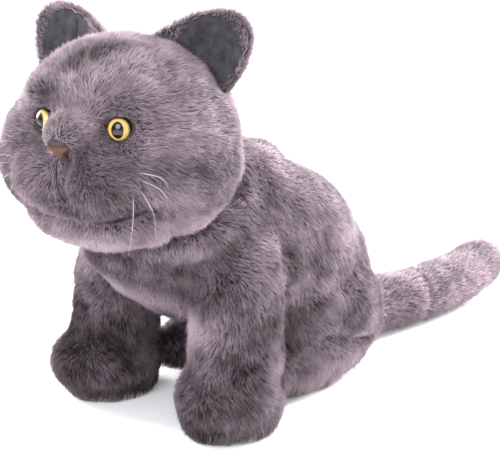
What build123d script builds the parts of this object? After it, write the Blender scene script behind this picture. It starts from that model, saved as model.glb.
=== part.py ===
from build123d import *
from build123d.topology import SkipClean
import math
import os

# A seated plush cat, in millimetres. It faces -Y, its own left side is +X and +Z is up.
# The origin is the centre of the flat seat panel, on the surface that the cat sits on.
# Every outline is the outside of the pile, at about half the height of the fur.

# ---- Driving dimensions ----
SKIN = 3.0                      # backing cloth and the dense foot of the pile
GAP = 0.4                       # room between bodies that turn on each other
SEAT_SKIN = 3.0                 # thickness of the flat panels that meet the floor

# Torso: (height, centre y, half width, half depth) of each level section
TORSO_SECTIONS = [
    (0, 0, 48, 57),
    (18, 0, 60, 71),
    (46, -1, 66, 77),
    (68, -22, 70, 100),
    (90, -44, 74, 118),
    (115, -65, 76, 126),
    (140, -82, 73, 126),
    (165, -92, 64, 107),
    (188, -101, 52, 83),
    (208, -112, 36, 45),
]
TORSO_TOP_ROUND = 3.0           # the inner torso stops this much lower
CHEST_HALF_WIDTH = 26.0
CHEST_BACK_Y = -72.0

# Pouch of plastic pellets that weighs the seat down
POUCH_CENTRE = (0, -4, 24)
POUCH_RADII = (40, 44, 18)
POUCH_CLOTH = 1.2

# Front legs: (height, centre x, centre y, half width, half depth), left side
FRONT_LEG_SECTIONS = [
    (0, 65, -137, 28, 33),
    (12, 65, -138, 35, 41),
    (30, 65, -137, 35.5, 41),
    (52, 64.5, -134, 34, 37),
    (85, 63, -130, 33, 36),
    (115, 60, -126, 33, 37),
    (140, 52, -118, 26, 31),
    (152, 44, -112, 16, 22),
]
FRONT_LEG_SPLIT_X = 65.0

# Hind legs, left side
HAUNCH_CENTRE = (44, -8, 54)
HAUNCH_RADII = (38, 62, 52)
HIND_PAW_CENTRE = (47, -32, 21)
HIND_PAW_HALF_LENGTH = 61.0
HIND_PAW_RADIUS = 24.0

# Neck: both head joints pass through the centre of one ball
NECK_PIVOT = (0, -132, 190)
NECK_BALL_RADIUS = 44.0
NECK_SEAT_Z = 192.0
NECK_PLUG_RADIUS = 23.0
NECK_PLUG_HEIGHT = 60.0
NECK_THREAD_RADIUS = 0.9
NECK_THREAD_RISE = 4.0
HEAD_SWEEP_CENTRE = (0, -180, 219)
HEAD_SWEEP_RADII = (112, 86, 86)

# Head, in its own frame: face towards -Y, origin at the middle of the skull
HEAD_CENTRE = (0, -178, 221)
HEAD_YAW = 12.0
SKULL_HALF_WIDTH = 85.0
SKULL_RADIUS = 72.0             # the skull is round about its left-to-right axis
GUSSET_HALF_WIDTH = 14.0
CHIN_TOP_Z = -12.0
MUZZLE_CENTRE = (19, -62, -18)
MUZZLE_RADII = (26, 24, 20)
MUZZLE_SEAM = 0.7               # half of the seam between the two muzzle puffs

# Safety eyes: a domed front, a stem through the cloth and a washer behind it
EYE_CENTRE = (30.6, -52, 17)
EYE_TURN_OUT = 18.0
EYE_TURN_UP = 3.0
EYE_DIAMETER = 18.0
EYE_DOME_HEIGHT = 7.0
EYE_RIM = 1.2
EYE_SOCKET_RADIUS = 15.0
EYE_SOCKET_OUT = 15.0           # the socket ball's centre stands this far in front of the rim
STEM_DIAMETER = 4.0
STEM_LENGTH = 11.0
WASHER_DIAMETER = 15.0
WASHER_THICKNESS = 1.6

# Nose: a moulded triangle with rounded corners
NOSE_CENTRE = (0, -81, 4)
NOSE_WIDTH = 18.0
NOSE_HEIGHT = 11.0
NOSE_DEPTH = 7.0
NOSE_ROUND = 2.2
NOSE_STEM_LENGTH = STEM_LENGTH + 6.0

# Mouth seam and whiskers
THREAD_DIAMETER = 1.0
MOUTH_TOP_Y = -83.0
MOUTH_MIDDLE = (0, -85.0, -18)
MOUTH_BOTTOM = (0, -76.5, -33)
WHISKER_DIAMETER = 0.5
WHISKER_LENGTH = 52.0
WHISKER_AIM = (0.80, -0.10, -0.45)
WHISKER_BITE = 2.5              # length of each bristle held in the muzzle's cloth
WHISKER_ROOTS = [(-14, -12), (-6, -18), (-14, -24), (-6, -8)]   # (forward offset, z)

# Ears, in the left ear's frame: X along the base line, Z to the tip, -Y to the front
EAR_UP = (0.615, 0.256, 0.743)
EAR_BASE_LINE = (0.770, 0.0, -0.637)
EAR_BASE_RADIUS = 78.0          # distance of the base line from the middle of the skull
EAR_HALF_WIDTH = 28.0
EAR_HEIGHT = 41.0
EAR_TIP_OUT = 6.0
EAR_THICKNESS = 9.0
EAR_DISH_RADIUS = 58.0
EAR_DISH_DEPTH = 5.0
EAR_LINING = 1.8
EAR_ROOT_RADIUS = 4.5
EAR_GROOVE_RADIUS = 6.2
EAR_ROOT_SET_IN = 5.0           # the root stops this far inside each end of the base line
EAR_GROOVE_PAST = 2.0           # the groove runs this far past them

# Tail: (x, y, z) of its middle line and its radius there
TAIL_BASE_PATH = [((0, 66, 26), 21), ((3, 96, 25.5), 22), ((10.2, 153, 25), 22.5)]
TAIL_FILL_END = ((9.2, 140, 25), 22.5)   # where the base's stuffing stops, short of the bend
TAIL_TIP_PATH = [((11, 166, 25), 22.5), ((12, 205, 25.5), 22.5), ((11, 243, 28), 21.5), ((9, 292, 33), 20)]
TAIL_END_FLAT = 1.5             # half width of the small flat that is left on a rounded end
TAIL_SWING_DEG = 25.0
TAIL_ROOT_ROOM = 2.2            # clearance of the swinging root in the torso
SWING_STEPS = 5
SWING_REACH = 40.0              # how far along the tail its neighbours are cleared


# ---- Helpers ----
def ellipsoid(centre, radii):
    """A ball stretched to three half axes."""
    return Pos(*centre) * scale(Sphere(1), by=radii)


def spheroid_x(half_length, radius):
    """A ball stretched along X only, with its seam at the back."""
    half = Ellipse(half_length, radius) & (Pos(0, radius) * Rectangle(2 * half_length, 2 * radius))
    return revolve(half, axis=Axis.X)


def shrink(radii, by):
    return tuple(r - by for r in radii)


def block(low, high):
    """A box from its lowest to its highest corner."""
    size = [h - l for l, h in zip(low, high)]
    middle = [(h + l) / 2 for l, h in zip(low, high)]
    return Pos(*middle) * Box(*size)


def flip(part):
    """The right-hand twin of a left-hand part."""
    return mirror(part, about=Plane.YZ)


def section_loft(sections, inset=0.0):
    """A smooth body through level ellipses: (z, x, y, half width, half depth)."""
    rings = [Pos(x, y, z) * Ellipse(rx - inset, ry - inset) for z, x, y, rx, ry in sections]
    return loft(rings)


def carve(part, *tools):
    """The part less each tool, one after another."""
    for tool in tools:
        part = part - tool
    return part


def seamed(part):
    """The same solid, with its closed faces split where they cross the middle plane."""
    with SkipClean():
        return (part & left_half) + (part - left_half)


def write(name, part):
    export_step(part, f"parts/{name}.step")


FAR = 400.0                     # past every part, for cutting boxes
above_seat = block((-FAR, -FAR, SEAT_SKIN), (FAR, FAR, FAR))
below_seat = block((-FAR, -FAR, 0), (FAR, FAR, SEAT_SKIN))
above_floor = block((-FAR, -FAR, 0), (FAR, FAR, FAR))
left_half = block((0, -FAR, -FAR), (FAR, FAR, FAR))


# ---- Neck and the room that the head turns in ----
neck_ball = Pos(*NECK_PIVOT) * Sphere(NECK_BALL_RADIUS)
head_socket = Pos(*NECK_PIVOT) * Sphere(NECK_BALL_RADIUS + GAP)
head_sweep = ellipsoid(HEAD_SWEEP_CENTRE, HEAD_SWEEP_RADII) - neck_ball

plug_bore = Pos(NECK_PIVOT[0], NECK_PIVOT[1], NECK_SEAT_Z + NECK_PLUG_HEIGHT / 2) * Cylinder(
    NECK_PLUG_RADIUS + 2 * GAP + NECK_THREAD_RADIUS, NECK_PLUG_HEIGHT
)
thread_z = NECK_SEAT_Z + NECK_THREAD_RISE
neck_thread = Pos(NECK_PIVOT[0], NECK_PIVOT[1], thread_z) * Torus(NECK_PLUG_RADIUS, NECK_THREAD_RADIUS)
plug_column = Pos(NECK_PIVOT[0], NECK_PIVOT[1], NECK_SEAT_Z + GAP + NECK_PLUG_HEIGHT / 2) * Cylinder(
    NECK_PLUG_RADIUS, NECK_PLUG_HEIGHT
)
neck_plug = (plug_column & neck_ball) - neck_thread


# ---- Tail: two lengths, each with a rounded root around its pivot ----
def rounded_root(path):
    """The path, begun one radius before its first point so that its end can be rounded."""
    (x, y, z), radius = path[0]
    back = (Vector(x, y, z) - Vector(*path[1][0])).normalized() * radius
    return [((x + back.X, y + back.Y, z + back.Z), radius)] + path


def tail_length(path, inset=0.0, round_tip=False):
    """A tube through round sections that face along the middle line, with rounded ends."""
    points = [Vector(*p) for p, _ in path]
    if inset:
        points[0] = points[0] + (points[1] - points[0]).normalized() * inset
        if round_tip:
            points[-1] = points[-1] + (points[-2] - points[-1]).normalized() * inset
    rings = []
    for i, (_, radius) in enumerate(path):
        ahead = points[min(i + 1, len(points) - 1)]
        behind = points[max(i - 1, 0)]
        plane = Plane(origin=points[i], z_dir=(ahead - behind).normalized())
        rings.append(plane * Circle(radius - inset))
    tube = loft(rings)
    root = tube.faces().sort_by(Axis.Y)[0]
    tube = fillet(root.edges(), path[0][1] - inset - TAIL_END_FLAT)
    if round_tip:
        tip = tube.faces().sort_by(Axis.Y)[-1]
        tube = fillet(tip.edges(), path[-1][1] - inset - TAIL_END_FLAT)
    return tube


def swing_room(path, limit, room):
    """What a tail length sweeps near its root, grown by the room it needs, as a list of tools."""
    x, y, z = path[0][0]
    towards = (Vector(*path[1][0]) - Vector(x, y, z)).normalized()
    radius = path[0][1] + room
    tube = extrude(Plane(origin=(0, 0, 0), z_dir=towards) * Circle(radius), SWING_REACH)
    tools = [Pos(x, y, z) * Sphere(radius)]
    for i in range(SWING_STEPS):
        angle = -limit + 2 * limit * i / (SWING_STEPS - 1)
        tools.append(Pos(x, y, z) * Rot(0, 0, angle) * tube)
    return tools


root_room = swing_room(TAIL_BASE_PATH, TAIL_SWING_DEG, TAIL_ROOT_ROOM)

tail_middle, middle_radius = TAIL_TIP_PATH[0]
middle_ball = Pos(*tail_middle) * Sphere(middle_radius + 3 * GAP)
base_path = rounded_root(TAIL_BASE_PATH)
fill_path = base_path[:-1] + [TAIL_FILL_END]
tip_path = rounded_root(TAIL_TIP_PATH)
base_outer = tail_length(base_path)
base_inner = tail_length(fill_path, SKIN)
tip_outer = tail_length(tip_path, round_tip=True)
tip_inner = tail_length(tip_path, SKIN, round_tip=True)


# ---- Torso ----
torso_levels = [(z, 0, y, rx, ry) for z, y, rx, ry in TORSO_SECTIONS]
torso_outer = section_loft(torso_levels)
torso_inner = section_loft(torso_levels, SKIN) & block(
    (-FAR, -FAR, SEAT_SKIN), (FAR, FAR, TORSO_SECTIONS[-1][0] - TORSO_TOP_ROUND)
)
torso_cuts = (head_sweep, plug_bore, *root_room)
torso_shell = carve(torso_outer & above_seat, torso_inner, *torso_cuts)
chest_zone = block(
    (-CHEST_HALF_WIDTH, -FAR, SEAT_SKIN), (CHEST_HALF_WIDTH, CHEST_BACK_Y, NECK_PIVOT[2] - NECK_BALL_RADIUS)
)
chest_panel = torso_shell & chest_zone
side_shell = torso_shell - chest_zone
torso_side_left = side_shell & left_half
torso_side_right = side_shell - left_half
base_panel = carve(torso_outer & below_seat, *root_room)

pouch_outer = ellipsoid(POUCH_CENTRE, POUCH_RADII)
pellet_fill = ellipsoid(POUCH_CENTRE, shrink(POUCH_RADII, POUCH_CLOTH))
pellet_pouch = pouch_outer - pellet_fill
torso_stuffing = carve(torso_inner, *torso_cuts, pouch_outer)


# ---- Legs, left side ----
leg_outer = carve(section_loft(FRONT_LEG_SECTIONS), torso_outer, head_sweep)
leg_inner = carve(section_loft(FRONT_LEG_SECTIONS, SKIN) & above_seat, torso_outer, head_sweep)
leg_shell = (leg_outer & above_seat) - leg_inner
outside = block((FRONT_LEG_SPLIT_X, -FAR, -FAR), (FAR, FAR, FAR))
front_leg_outer_panel = leg_shell & outside
front_leg_inner_panel = leg_shell - outside
front_sole = leg_outer & below_seat


def paw_shape(inset=0.0):
    lengthwise = Rot(0, 0, 90) * spheroid_x(HIND_PAW_HALF_LENGTH - inset, HIND_PAW_RADIUS - inset)
    return Pos(*HIND_PAW_CENTRE) * lengthwise


paw_form = paw_shape() & above_floor
paw_outer = paw_form - torso_outer
paw_inner = (paw_shape(SKIN) & above_seat) - torso_outer
hind_paw_panel = (paw_outer & above_seat) - paw_inner
hind_sole = (paw_form & below_seat) - torso_outer

haunch_outer = carve(ellipsoid(HAUNCH_CENTRE, HAUNCH_RADII) & above_seat, torso_outer, paw_form)
haunch_inner = carve(ellipsoid(HAUNCH_CENTRE, shrink(HAUNCH_RADII, SKIN)) & above_seat, torso_outer, paw_form)
haunch_panel = haunch_outer - haunch_inner


# ---- Head, in its own frame ----
head_place = Pos(*HEAD_CENTRE) * Rot(0, 0, HEAD_YAW)


def eye_frame():
    """Left eye: its origin is the middle of the rim and +Z looks out of the face."""
    out = math.radians(EYE_TURN_OUT)
    up = math.radians(EYE_TURN_UP)
    look = (math.sin(out) * math.cos(up), -math.cos(out) * math.cos(up), math.sin(up))
    return Plane(origin=EYE_CENTRE, z_dir=look)


def eye_socket(grow):
    return eye_frame() * Pos(0, 0, EYE_SOCKET_OUT) * Sphere(EYE_SOCKET_RADIUS + grow)


def nose_solid():
    """A triangle with its flat edge on top, rounded all round, with its back flat."""
    w = NOSE_WIDTH / 2
    h = NOSE_HEIGHT / 2
    corners = [(-w, h * 0.7), (-w * 0.6, h), (w * 0.6, h), (w, h * 0.7), (w * 0.3, -h), (-w * 0.3, -h)]
    outline = Polyline(*corners, close=True)
    face = Plane(origin=NOSE_CENTRE, z_dir=(0, -1, 0), x_dir=(1, 0, 0)) * make_face(outline)
    slab = extrude(face, NOSE_DEPTH / 2, both=True)
    front = slab.faces().sort_by(Axis.Y)[0]
    return fillet(front.edges(), NOSE_ROUND)


def stem_and_washer(frame, length):
    """A stem that runs inwards from a frame's origin, and the washer near its end."""
    stem = frame * Pos(0, 0, -length / 2) * Cylinder(STEM_DIAMETER / 2, length)
    disc = frame * Pos(0, 0, -length + 3 * WASHER_THICKNESS) * Cylinder(WASHER_DIAMETER / 2, WASHER_THICKNESS)
    return stem, disc - stem


def eye_front():
    """The dome: a slice of a ball on a short straight rim."""
    half = EYE_DIAMETER / 2
    ball_radius = (half * half + EYE_DOME_HEIGHT * EYE_DOME_HEIGHT) / (2 * EYE_DOME_HEIGHT)
    ball = Pos(0, 0, EYE_RIM + EYE_DOME_HEIGHT - ball_radius) * Sphere(ball_radius)
    column = Pos(0, 0, (EYE_RIM + EYE_DOME_HEIGHT) / 2) * Cylinder(half, EYE_RIM + EYE_DOME_HEIGHT)
    return ball & column


eye_stem, eye_washer = stem_and_washer(eye_frame(), STEM_LENGTH)
eye_lens = eye_frame() * eye_front()
eye_lens = eye_lens + eye_stem

nose_frame = Plane(origin=(NOSE_CENTRE[0], NOSE_CENTRE[1] + NOSE_DEPTH / 2, NOSE_CENTRE[2]), z_dir=(0, -1, 0))
nose_stem, nose_washer = stem_and_washer(nose_frame, NOSE_STEM_LENGTH)
nose = nose_solid() + nose_stem

hardware = (eye_lens, flip(eye_lens), eye_washer, flip(eye_washer), nose, nose_washer)

skull_form = spheroid_x(SKULL_HALF_WIDTH, SKULL_RADIUS)
skull_outer = carve(skull_form, eye_socket(0), flip(eye_socket(0)))
skull_core = spheroid_x(SKULL_HALF_WIDTH - SKIN, SKULL_RADIUS - SKIN)
skull_inner = carve(skull_core, eye_socket(SKIN), flip(eye_socket(SKIN)))


def ear_frame():
    origin = Vector(*EAR_UP).normalized() * EAR_BASE_RADIUS
    return Plane(origin=origin, x_dir=EAR_BASE_LINE, z_dir=EAR_UP)


def ear_blade():
    """A rounded triangle, as thick as the folded cloth, over a round root."""
    w = EAR_HALF_WIDTH
    h = EAR_HEIGHT
    tip = EAR_TIP_OUT
    edge = [(w, 0), (w * 0.98, h * 0.35), (w * 0.78, h * 0.75), (tip + 6, h * 0.97), (tip - 6, h * 0.97)]
    edge = edge + [(-w * 0.38, h * 0.72), (-w * 0.80, h * 0.35), (-w, 0)]
    outline = [Line((-w, 0), (w, 0)), Spline(*edge)]
    face = Plane.XZ * make_face(Curve() + outline)
    return extrude(face, EAR_THICKNESS / 2, both=True)


blade = ear_blade()
ear_root = Rot(0, 90, 0) * Cylinder(EAR_ROOT_RADIUS, 2 * (EAR_HALF_WIDTH - EAR_ROOT_SET_IN))
dish_y = -EAR_THICKNESS / 2 + EAR_DISH_DEPTH - EAR_DISH_RADIUS
dish = Pos(EAR_TIP_OUT / 2, dish_y, EAR_HEIGHT * 0.42) * Sphere(EAR_DISH_RADIUS)
dish_inner = Pos(EAR_TIP_OUT / 2, dish_y, EAR_HEIGHT * 0.42) * Sphere(EAR_DISH_RADIUS - EAR_LINING)
above_root = block((-FAR, -FAR, EAR_ROOT_RADIUS), (FAR, FAR, FAR))
ear_lining = ear_frame() * ((blade & dish & above_root) - dish_inner)
ear_back = ear_frame() * ((blade + ear_root) - (dish & above_root))
ear_groove = ear_frame() * Rot(0, 90, 0) * Cylinder(EAR_GROOVE_RADIUS, 2 * (EAR_HALF_WIDTH + EAR_GROOVE_PAST))
head_cuts = (*hardware, ear_groove, flip(ear_groove))

skull_shell = carve(skull_outer, skull_inner, *head_cuts)
gusset_zone = block((-GUSSET_HALF_WIDTH, -FAR, CHIN_TOP_Z), (GUSSET_HALF_WIDTH, FAR, FAR))
chin_zone = block((-GUSSET_HALF_WIDTH, -FAR, -FAR), (GUSSET_HALF_WIDTH, FAR, CHIN_TOP_Z))
left_zone = block((GUSSET_HALF_WIDTH, -FAR, -FAR), (FAR, FAR, FAR))
right_zone = block((-FAR, -FAR, -FAR), (-GUSSET_HALF_WIDTH, FAR, FAR))

muzzle_side = block((MUZZLE_SEAM, -FAR, -FAR), (FAR, FAR, FAR))
muzzle_form = (ellipsoid(MUZZLE_CENTRE, MUZZLE_RADII) & muzzle_side) - skull_form
muzzle_core_side = block((MUZZLE_SEAM + SKIN, -FAR, -FAR), (FAR, FAR, FAR))
muzzle_core = (ellipsoid(MUZZLE_CENTRE, shrink(MUZZLE_RADII, SKIN)) & muzzle_core_side) - skull_form
muzzle_skin = carve(muzzle_form, muzzle_core, nose)
muzzle_stuffing = carve(muzzle_core, nose)


def mouth_seam():
    """A thread that lies in the slot between the muzzle puffs, from the nose to the chin."""
    top = (0, MOUTH_TOP_Y, NOSE_CENTRE[2] - NOSE_HEIGHT / 2 - THREAD_DIAMETER)
    path = ThreePointArc(top, MOUTH_MIDDLE, MOUTH_BOTTOM)
    ring = Plane(origin=path @ 0, z_dir=path % 0) * Circle(THREAD_DIAMETER / 2)
    return sweep(ring, path=path)


def whisker(forward, height):
    """A straight bristle from the cheek side of the left puff, swept back and down."""
    cx, cy, cz = MUZZLE_CENTRE
    rx, ry, rz = MUZZLE_RADII
    y = cy + forward
    level = 1 - ((y - cy) / ry) ** 2 - ((height - cz) / rz) ** 2
    root = Vector(cx + rx * math.sqrt(level), y, height)
    aim = Vector(*WHISKER_AIM).normalized()
    start = root - aim * WHISKER_BITE
    return extrude(Plane(origin=start, z_dir=aim) * Circle(WHISKER_DIAMETER / 2), WHISKER_LENGTH)


whiskers_left = Compound(children=[whisker(*root) for root in WHISKER_ROOTS])


# ---- Write every node ----
def head_node(name, part, cut_socket=False):
    placed = head_place * part
    if cut_socket:
        placed = placed - head_socket
    write(name, placed)


def pair(name, part):
    write(f"{name}_left", part)
    write(f"{name}_right", flip(part))


def head_pair(name, part, cut_socket=False):
    head_node(f"{name}_left", part, cut_socket)
    head_node(f"{name}_right", flip(part), cut_socket)


os.makedirs("parts", exist_ok=True)

write("torso_side_left", torso_side_left)
write("torso_side_right", torso_side_right)
write("chest_panel", chest_panel)
write("base_panel", base_panel)
write("torso_stuffing", torso_stuffing)
write("pellet_pouch", pellet_pouch)
write("pellet_fill", pellet_fill)

pair("front_leg_outer_panel", front_leg_outer_panel)
pair("front_leg_inner_panel", front_leg_inner_panel)
pair("front_leg_stuffing", leg_inner)
pair("front_sole", front_sole)
pair("haunch_panel", haunch_panel)
pair("haunch_stuffing", haunch_inner)
pair("hind_paw_panel", hind_paw_panel)
pair("hind_paw_stuffing", paw_inner)
pair("hind_sole", hind_sole)

write("neck_plug", neck_plug)
write("neck_thread", neck_thread)

head_node("head_side_left", skull_shell & left_zone, True)
head_node("head_side_right", skull_shell & right_zone, True)
head_node("head_gusset", skull_shell & gusset_zone, True)
head_node("chin_panel", skull_shell & chin_zone, True)
write("head_stuffing", seamed(head_place * carve(skull_inner, *head_cuts) - head_socket))
head_pair("muzzle_skin", muzzle_skin)
head_pair("muzzle_stuffing", muzzle_stuffing)
head_pair("eye_lens", eye_lens)
head_pair("eye_washer", eye_washer)
head_node("nose", nose)
head_node("nose_washer", nose_washer)
head_node("mouth_thread", mouth_seam())
head_pair("whiskers", whiskers_left)
head_pair("ear_back", ear_back)
head_pair("ear_lining", ear_lining)

write("tail_base_skin", carve(base_outer, base_inner, middle_ball))
write("tail_base_stuffing", base_inner)
write("tail_tip_skin", tip_outer - tip_inner)
write("tail_tip_stuffing", tip_inner)
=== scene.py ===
import math

import bmesh
import bpy
import numpy as np
from mathutils import Matrix, Vector
from mathutils.bvhtree import BVHTree


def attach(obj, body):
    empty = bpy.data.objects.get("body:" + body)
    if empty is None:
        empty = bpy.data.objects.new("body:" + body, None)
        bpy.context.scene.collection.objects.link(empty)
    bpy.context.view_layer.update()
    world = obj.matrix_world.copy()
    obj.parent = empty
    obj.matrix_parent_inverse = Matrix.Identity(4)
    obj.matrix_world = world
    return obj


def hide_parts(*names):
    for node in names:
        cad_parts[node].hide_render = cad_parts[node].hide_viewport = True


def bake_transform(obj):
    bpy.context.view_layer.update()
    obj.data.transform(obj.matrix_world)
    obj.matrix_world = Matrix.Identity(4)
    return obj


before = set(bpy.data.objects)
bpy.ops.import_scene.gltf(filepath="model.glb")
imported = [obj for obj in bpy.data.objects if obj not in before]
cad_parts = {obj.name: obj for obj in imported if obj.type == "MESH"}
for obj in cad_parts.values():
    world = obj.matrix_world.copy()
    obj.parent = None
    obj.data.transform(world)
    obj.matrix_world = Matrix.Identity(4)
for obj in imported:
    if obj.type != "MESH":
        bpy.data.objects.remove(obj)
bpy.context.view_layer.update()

# ---- The cat's main points, in metres: it faces -Y, with its left side at +X ----
HEAD_CENTRE = Vector((0.0, -0.178, 0.221))
HEAD_YAW = math.radians(12.0)
HEAD_TURNED = Matrix.Rotation(HEAD_YAW, 3, "Z")
NECK_PIVOT = Vector((0.0, -0.132, 0.190))
NOSE_TIP = Vector((0.0, -0.084, 0.004))
EYE_SIDE = 0.0306
EYE_FRONT = -0.052
EYE_UP = 0.017
EYE_RADIUS = 0.009
EYE_CLEAR = 0.0112
EYE_TURN = math.radians(18.0)
PUPIL_ACROSS = 0.50
PUPIL_UP = 0.68
EAR_UP = Vector((0.615, 0.256, 0.743)).normalized()
EAR_SETTLE = {"left": Vector((0, 0, -0.001)), "right": Vector((-0.013, -0.003, -0.004))}
TAIL_SHORTENED_FROM = 0.235
TAIL_SHORTENED_BY = 0.14

# ---- Skin and pile ----
BODY_VOXEL = 0.003
HEAD_VOXEL = 0.0022
TAIL_VOXEL = 0.0026
INNER_VOXEL = 0.002
NOSE_VOXEL = 0.0006
PILE_INSET = 0.004
TAIL_PILE_INSET = 0.003
STRAND_LENGTH = 0.0115
STRAND_WIDTH = 0.00048
STRANDS_PER_PIECE = 22000
BODY_STRANDS = 8 * STRANDS_PER_PIECE
HEAD_STRANDS = 5 * STRANDS_PER_PIECE
TAIL_STRANDS = 2 * STRANDS_PER_PIECE
EAR_STRANDS = 9000
CLUMP_SIZE = 0.0042
CLUMP_PULL = 0.35
PILE_SCATTER = 0.22
LEAST_RISE = 0.12

SIDES = {"left": 1, "right": -1}
rng = np.random.default_rng(72)


# ---- Small helpers ----
def node_names(*starts):
    """The frame's nodes whose names begin with any of these."""
    return sorted(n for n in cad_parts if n.startswith(starts))


def head_point(local):
    """A point in the head's own frame, in the row frame."""
    return HEAD_TURNED @ Vector(local) + HEAD_CENTRE


def eye_centre(side):
    return head_point((side * EYE_SIDE, EYE_FRONT, EYE_UP))


def unit(rows):
    """Each row at length one."""
    return rows / np.maximum(np.linalg.norm(rows, axis=1, keepdims=True), 1e-9)


def fade(value, width):
    """Zero below zero, rising to one at this width."""
    return np.clip(value / width, 0, 1)


def waves(points, size, seed):
    """A smooth, repeatable unevenness between about -1 and 1, with features of this size."""
    own = np.random.default_rng(seed)
    total = np.zeros(len(points))
    count = 6
    for _ in range(count):
        direction = unit(own.normal(size=(1, 3)))[0]
        pace = own.uniform(0.6, 1.5) * 2 * math.pi / size
        total += np.sin(points @ direction * pace + own.uniform(0, 2 * math.pi))
    return total / math.sqrt(count * 2)


def add_object(name, mesh):
    obj = bpy.data.objects.new(name, mesh)
    bpy.context.scene.collection.objects.link(obj)
    return obj


def baked(obj):
    """The object with its modifiers made part of its mesh."""
    graph = bpy.context.evaluated_depsgraph_get()
    mesh = bpy.data.meshes.new_from_object(obj.evaluated_get(graph))
    old = obj.data
    obj.modifiers.clear()
    obj.data = mesh
    bpy.data.meshes.remove(old)
    mesh.name = obj.name
    return obj


def vertex_arrays(mesh):
    """The places and normals of the mesh's vertices."""
    places = np.empty(len(mesh.vertices) * 3)
    mesh.vertices.foreach_get("co", places)
    normals = np.empty(len(mesh.vertices) * 3)
    mesh.vertices.foreach_get("normal", normals)
    return places.reshape(-1, 3), normals.reshape(-1, 3)


def move_vertices(mesh, places):
    mesh.vertices.foreach_set("co", places.astype(np.float32).ravel())
    mesh.update()


def shade_smooth(mesh):
    mesh.polygons.foreach_set("use_smooth", np.ones(len(mesh.polygons), bool))


def skin_from(name, nodes, voxel, inset, smoothing, swellings=()):
    """One closed soft skin around these nodes and swellings, drawn in by the inset and relaxed."""
    work = bmesh.new()
    for node in nodes:
        work.from_mesh(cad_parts[node].data)
    for centre, radii, yaw in swellings:
        place = Matrix.Translation(centre) @ Matrix.Rotation(yaw, 4, "Z") @ Matrix.Diagonal((*radii, 1.0))
        bmesh.ops.create_icosphere(work, subdivisions=5, radius=1.0, matrix=place)
    mesh = bpy.data.meshes.new(name)
    work.to_mesh(mesh)
    work.free()
    skin = add_object(name, mesh)
    remesh = skin.modifiers.new("even", "REMESH")
    remesh.mode = "VOXEL"
    remesh.voxel_size = voxel
    relax = skin.modifiers.new("relax", "SMOOTH")
    relax.factor = 0.5
    relax.iterations = smoothing
    draw_in = skin.modifiers.new("draw in", "DISPLACE")
    draw_in.mid_level = 0.0
    draw_in.strength = -inset
    settle = skin.modifiers.new("settle", "SMOOTH")
    settle.factor = 0.5
    settle.iterations = 2
    baked(skin)
    shade_smooth(skin.data)
    return skin


def along_path(places, path):
    """How far each place is from a line through these points."""
    nearest = np.full(len(places), np.inf)
    for start, end in zip(path[:-1], path[1:]):
        start, end = np.array(start), np.array(end)
        step = end - start
        t = np.clip((places - start) @ step / (step @ step), 0, 1)
        nearest = np.minimum(nearest, np.linalg.norm(places - start - t[:, None] * step, axis=1))
    return nearest


def near_path(places, path, width):
    """One on the line through these points, falling away over this width."""
    return np.exp(-((along_path(places, path) / width) ** 2))


def press(mesh, path, depth, width):
    """A sewn crease: the skin pulled in along the path."""
    places, normals = vertex_arrays(mesh)
    push = depth * near_path(places, path, width)
    move_vertices(mesh, places - normals * push[:, None])


def tree_of(obj):
    return BVHTree.FromObject(obj, bpy.context.evaluated_depsgraph_get())


def face_path(tree, points):
    """(x, z) points of the face, in the head's own frame, brought onto the head's skin from the front."""
    start_y = -0.16
    forward = HEAD_TURNED @ Vector((0, 1, 0))
    hits = [tree.ray_cast(head_point((x, start_y, z)), forward)[0] for x, z in points]
    return [tuple(hit) for hit in hits if hit is not None]


# ---- Materials ----
FUR_SHEEN_PATCH_SIZE = 0.045
FUR_STREAK_SIZE = 0.012
IRIS_TONES = [
    (0.30, (0.34, 0.17, 0.02)),
    (0.60, (0.66, 0.41, 0.09)),
    (0.90, (0.74, 0.52, 0.19)),
    (1.00, (0.16, 0.09, 0.03)),
]
PUPIL_COLOUR = (0.004, 0.003, 0.003, 1)


def new_material(name):
    """An empty node material, its tree and its output."""
    material = bpy.data.materials.new(name)
    material.use_nodes = True
    tree = material.node_tree
    tree.nodes.clear()
    output = tree.nodes.new("ShaderNodeOutputMaterial")
    return material, tree, output


def object_noise(tree, size, detail=3.0, roughness=0.55):
    """Noise in the piece's own coordinates, with features of this size in metres."""
    place = tree.nodes.new("ShaderNodeTexCoord")
    noise = tree.nodes.new("ShaderNodeTexNoise")
    noise.inputs["Scale"].default_value = 1.0 / size
    noise.inputs["Detail"].default_value = detail
    noise.inputs["Roughness"].default_value = roughness
    tree.links.new(place.outputs["Object"], noise.inputs["Vector"])
    return noise.outputs["Fac"]


def ramp(tree, value, stops):
    """Colours along a value: (position, (r, g, b))."""
    node = tree.nodes.new("ShaderNodeValToRGB")
    while len(node.color_ramp.elements) < len(stops):
        node.color_ramp.elements.new(0.5)
    for element, (position, colour) in zip(node.color_ramp.elements, stops):
        element.position = position
        element.color = (*colour, 1.0)
    tree.links.new(value, node.inputs["Fac"])
    return node.outputs["Color"]


def math_node(tree, operation, first, second=0.0):
    node = tree.nodes.new("ShaderNodeMath")
    node.operation = operation
    for socket, value in zip(node.inputs, (first, second)):
        if isinstance(value, (int, float)):
            socket.default_value = value
        else:
            tree.links.new(value, socket)
    return node.outputs["Value"]


def bump(tree, height, strength, distance):
    node = tree.nodes.new("ShaderNodeBump")
    node.inputs["Strength"].default_value = strength
    node.inputs["Distance"].default_value = distance
    tree.links.new(height, node.inputs["Height"])
    return node.outputs["Normal"]


def principled(tree, roughness, colour=None):
    shader = tree.nodes.new("ShaderNodeBsdfPrincipled")
    shader.inputs["Roughness"].default_value = roughness
    if colour is not None:
        tree.links.new(colour, shader.inputs["Base Color"])
    return shader


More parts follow.
